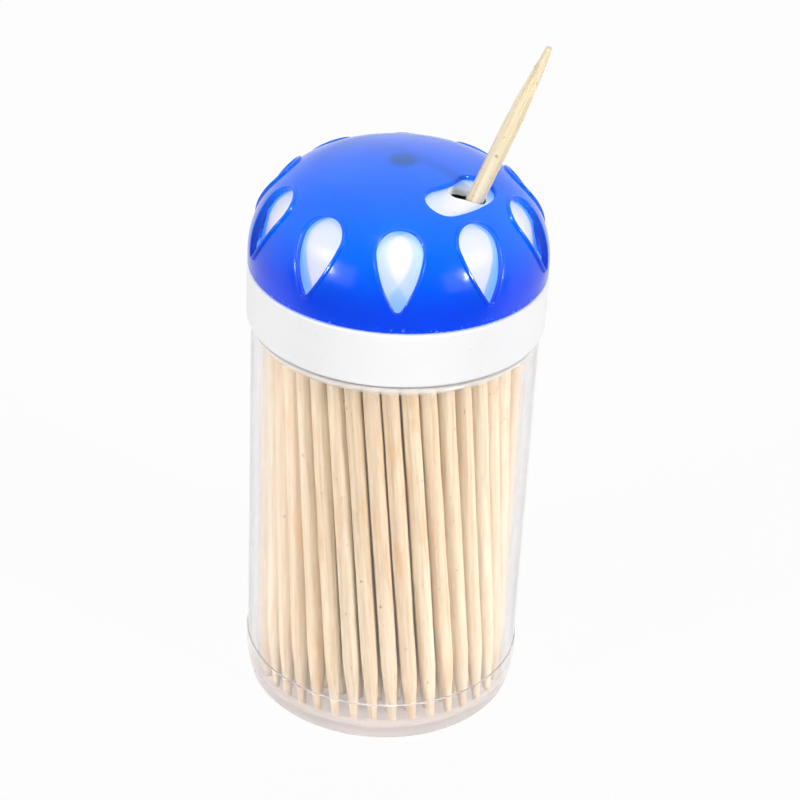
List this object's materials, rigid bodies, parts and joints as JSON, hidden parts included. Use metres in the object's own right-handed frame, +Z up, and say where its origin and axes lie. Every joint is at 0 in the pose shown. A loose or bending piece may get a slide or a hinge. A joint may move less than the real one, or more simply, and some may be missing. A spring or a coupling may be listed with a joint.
{
  "type": "toothpick dispenser",
  "caption": "Clear cylindrical toothpick jar with a white press-on lid and a turning blue domed cover that opens a dispensing slot; toothpicks stand inside and one leans out.",
  "frame": {"origin": "centre of the jar's foot, on the surface it stands on", "axes": "+Z up along the jar's axis; -Y is the front and the dispensed toothpick leans towards +X"},
  "size_m": [0.04, 0.0404, 0.0985],
  "materials": {
    "clear_plastic": "clear, slightly hazy moulded polystyrene",
    "white_plastic": "semi-gloss white moulded plastic",
    "blue_plastic": "glossy, slightly translucent blue moulded plastic",
    "bamboo": "sanded pale bamboo with fine lengthwise grain"
  },
  "bodies": {
    "jar": {"jar": "clear_plastic", "toothpick_wall_01": "bamboo", "toothpick_wall_02": "bamboo", "toothpick_wall_03": "bamboo", "toothpick_wall_04": "bamboo", "toothpick_wall_05": "bamboo", "toothpick_wall_06": "bamboo", "toothpick_wall_07": "bamboo", "toothpick_wall_08": "bamboo", "toothpick_wall_09": "bamboo", "toothpick_wall_10": "bamboo", "toothpick_wall_11": "bamboo", "toothpick_wall_12": "bamboo", "toothpick_wall_13": "bamboo", "toothpick_wall_14": "bamboo", "toothpick_wall_15": "bamboo", "toothpick_wall_16": "bamboo", "toothpick_wall_17": "bamboo", "toothpick_wall_18": "bamboo", "toothpick_wall_19": "bamboo", "toothpick_wall_20": "bamboo", "toothpick_wall_21": "bamboo", "toothpick_wall_22": "bamboo", "toothpick_wall_23": "bamboo", "toothpick_wall_24": "bamboo", "toothpick_wall_25": "bamboo", "toothpick_wall_26": "bamboo", "toothpick_wall_27": "bamboo", "toothpick_wall_28": "bamboo", "toothpick_wall_29": "bamboo", "toothpick_wall_30": "bamboo", "toothpick_wall_31": "bamboo", "toothpick_wall_32": "bamboo", "toothpick_wall_33": "bamboo", "toothpick_wall_34": "bamboo", "toothpick_wall_35": "bamboo", "toothpick_wall_36": "bamboo", "toothpick_wall_37": "bamboo", "toothpick_wall_38": "bamboo", "toothpick_wall_39": "bamboo", "toothpick_wall_40": "bamboo", "toothpicks_row_2": "bamboo", "toothpicks_row_3": "bamboo", "toothpicks_row_4": "bamboo"},
    "lid": {"inner_lid": "white_plastic"},
    "cover": {"dome_cover": "blue_plastic"},
    "pick": {"toothpick_dispensed": "bamboo"}
  },
  "joints": [
    {"name": "lid_lift", "type": "slide", "parent": "jar", "child": "lid", "axis": [0, 0, 1], "range_m": [0, 0.045]},
    {"name": "cover_turn", "type": "hinge", "parent": "lid", "child": "cover", "pos_m": [0, 0, 0.0785], "axis": [0, 0, 1], "range_deg": [-7, 33]},
    {"name": "pick_draw", "type": "slide", "parent": "lid", "child": "pick", "axis": [0.3518, 0, 0.9361], "range_m": [0, 0.046]}
  ]
}
